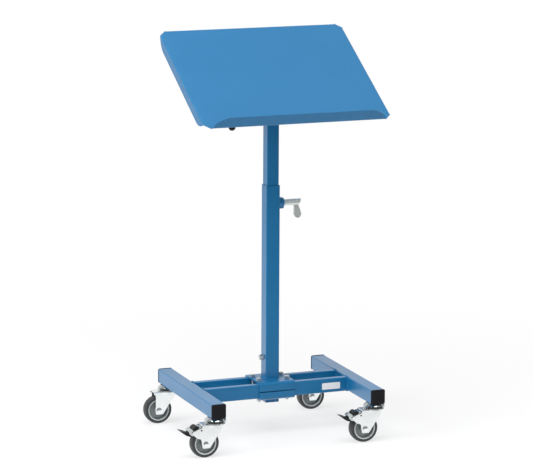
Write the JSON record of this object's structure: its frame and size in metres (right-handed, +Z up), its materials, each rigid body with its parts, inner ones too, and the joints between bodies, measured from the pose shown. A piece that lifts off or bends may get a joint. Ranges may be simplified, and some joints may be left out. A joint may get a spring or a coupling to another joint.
{
  "type": "height-adjustable material stand",
  "caption": "Mobile material stand: H-shaped base on swivel casters, telescopic square column and a tilting tray with a front lip.",
  "frame": {"origin": "on the floor, under the axis of the column", "axes": "+Z up, +X to the right as seen from the lip side, +Y towards the high edge of the tray"},
  "size_m": [0.615, 0.4563, 1.1253],
  "materials": {
    "blue_paint": "satin powder coat",
    "black_plastic": "moulded, fine grain",
    "zinc_steel": "bright zinc plate",
    "cast_metal": "die cast, tumbled",
    "brass": "turned",
    "rim_plastic": "moulded",
    "tyre_rubber": "solid rubber"
  },
  "bodies": {
    "base": {"left_rail": "blue_paint", "right_rail": "blue_paint", "front_crossbar": "blue_paint", "rear_crossbar": "blue_paint", "end_caps": "black_plastic", "stem_nuts": "zinc_steel", "ball_races": "zinc_steel", "caster_head_front_left": "zinc_steel", "caster_head_front_right": "zinc_steel", "caster_head_rear_left": "zinc_steel", "caster_head_rear_right": "zinc_steel"},
    "carriage": {"saddle_upper": "blue_paint", "saddle_lower": "blue_paint", "saddle_bolts": "zinc_steel", "saddle_washers": "zinc_steel", "saddle_nuts": "zinc_steel", "column": "blue_paint", "clamp_nut": "blue_paint", "stop_screw": "zinc_steel", "stop_nut": "zinc_steel"},
    "mast": {"mast_tube": "blue_paint", "mast_plug": "black_plastic", "cross_tube": "blue_paint", "end_plates": "blue_paint", "guide_pins": "zinc_steel", "clamp_rod": "zinc_steel", "rod_washers": "zinc_steel", "rod_nut": "zinc_steel"},
    "table": {"tray": "blue_paint", "tray_bracket": "blue_paint"},
    "height_clamp": {"clamp_lever": "cast_metal", "clamp_spindle": "zinc_steel", "pressure_pad": "brass"},
    "tilt_lock": {"lever_hub": "zinc_steel", "lever_rod": "zinc_steel", "ball_knob": "black_plastic"},
    "swivel_front_left": {"fork_front_left": "zinc_steel", "axle_set_front_left": "zinc_steel", "brake_leaf_front_left": "zinc_steel", "brake_pin_front_left": "zinc_steel"},
    "wheel_front_left": {"rim_front_left": "rim_plastic", "tyre_front_left": "tyre_rubber"},
    "swivel_front_right": {"fork_front_right": "zinc_steel", "axle_set_front_right": "zinc_steel", "brake_leaf_front_right": "zinc_steel", "brake_pin_front_right": "zinc_steel"},
    "wheel_front_right": {"rim_front_right": "rim_plastic", "tyre_front_right": "tyre_rubber"},
    "swivel_rear_left": {"fork_rear_left": "zinc_steel", "axle_set_rear_left": "zinc_steel"},
    "wheel_rear_left": {"rim_rear_left": "rim_plastic", "tyre_rear_left": "tyre_rubber"},
    "swivel_rear_right": {"fork_rear_right": "zinc_steel", "axle_set_rear_right": "zinc_steel"},
    "wheel_rear_right": {"rim_rear_right": "rim_plastic", "tyre_rear_right": "tyre_rubber"},
    "pedal_front_left": {"brake_pedal_front_left": "black_plastic", "brake_lever_front_left": "zinc_steel"},
    "pedal_front_right": {"brake_pedal_front_right": "black_plastic", "brake_lever_front_right": "zinc_steel"}
  },
  "joints": [
    {"name": "column_shift", "type": "slide", "parent": "base", "child": "carriage", "axis": [1, 0, 0], "range_m": [-0.15, 0.15]},
    {"name": "mast_slide", "type": "slide", "parent": "carriage", "child": "mast", "axis": [0, 0, 1], "range_m": [-0.219, 0.13]},
    {"name": "height_clamp", "type": "hinge", "parent": "carriage", "child": "height_clamp", "pos_m": [0.06, 0, 0.6525], "axis": [1, 0, 0], "range_deg": [0, 360]},
    {"name": "table_tilt", "type": "hinge", "parent": "mast", "child": "table", "pos_m": [0, 0, 0.973], "axis": [1, 0, 0], "range_deg": [-30, 15]},
    {"name": "tilt_lever", "type": "hinge", "parent": "mast", "child": "tilt_lock", "pos_m": [-0.078, 0, 0.973], "axis": [1, 0, 0], "range_deg": [-50, 0]},
    {"name": "swivel_front_left", "type": "hinge", "parent": "base", "child": "swivel_front_left", "pos_m": [-0.235, -0.195, 0.09], "axis": [0, 0, 1], "continuous": true},
    {"name": "wheel_front_left", "type": "hinge", "parent": "swivel_front_left", "child": "wheel_front_left", "pos_m": [-0.268, -0.195, 0.04], "axis": [0, 1, 0], "continuous": true},
    {"name": "swivel_front_right", "type": "hinge", "parent": "base", "child": "swivel_front_right", "pos_m": [0.235, -0.195, 0.09], "axis": [0, 0, 1], "continuous": true},
    {"name": "wheel_front_right", "type": "hinge", "parent": "swivel_front_right", "child": "wheel_front_right", "pos_m": [0.202, -0.195, 0.04], "axis": [0, 1, 0], "continuous": true},
    {"name": "swivel_rear_left", "type": "hinge", "parent": "base", "child": "swivel_rear_left", "pos_m": [-0.235, 0.195, 0.09], "axis": [0, 0, 1], "continuous": true},
    {"name": "wheel_rear_left", "type": "hinge", "parent": "swivel_rear_left", "child": "wheel_rear_left", "pos_m": [-0.268, 0.195, 0.04], "axis": [0, 1, 0], "continuous": true},
    {"name": "swivel_rear_right", "type": "hinge", "parent": "base", "child": "swivel_rear_right", "pos_m": [0.235, 0.195, 0.09], "axis": [0, 0, 1], "continuous": true},
    {"name": "wheel_rear_right", "type": "hinge", "parent": "swivel_rear_right", "child": "wheel_rear_right", "pos_m": [0.202, 0.195, 0.04], "axis": [0, 1, 0], "continuous": true},
    {"name": "brake_front_left", "type": "hinge", "parent": "swivel_front_left", "child": "pedal_front_left", "pos_m": [-0.3, -0.195, 0.073], "axis": [0, 1, 0], "range_deg": [-12, 0]},
    {"name": "brake_front_right", "type": "hinge", "parent": "swivel_front_right", "child": "pedal_front_right", "pos_m": [0.17, -0.195, 0.073], "axis": [0, 1, 0], "range_deg": [-12, 0]}
  ]
}
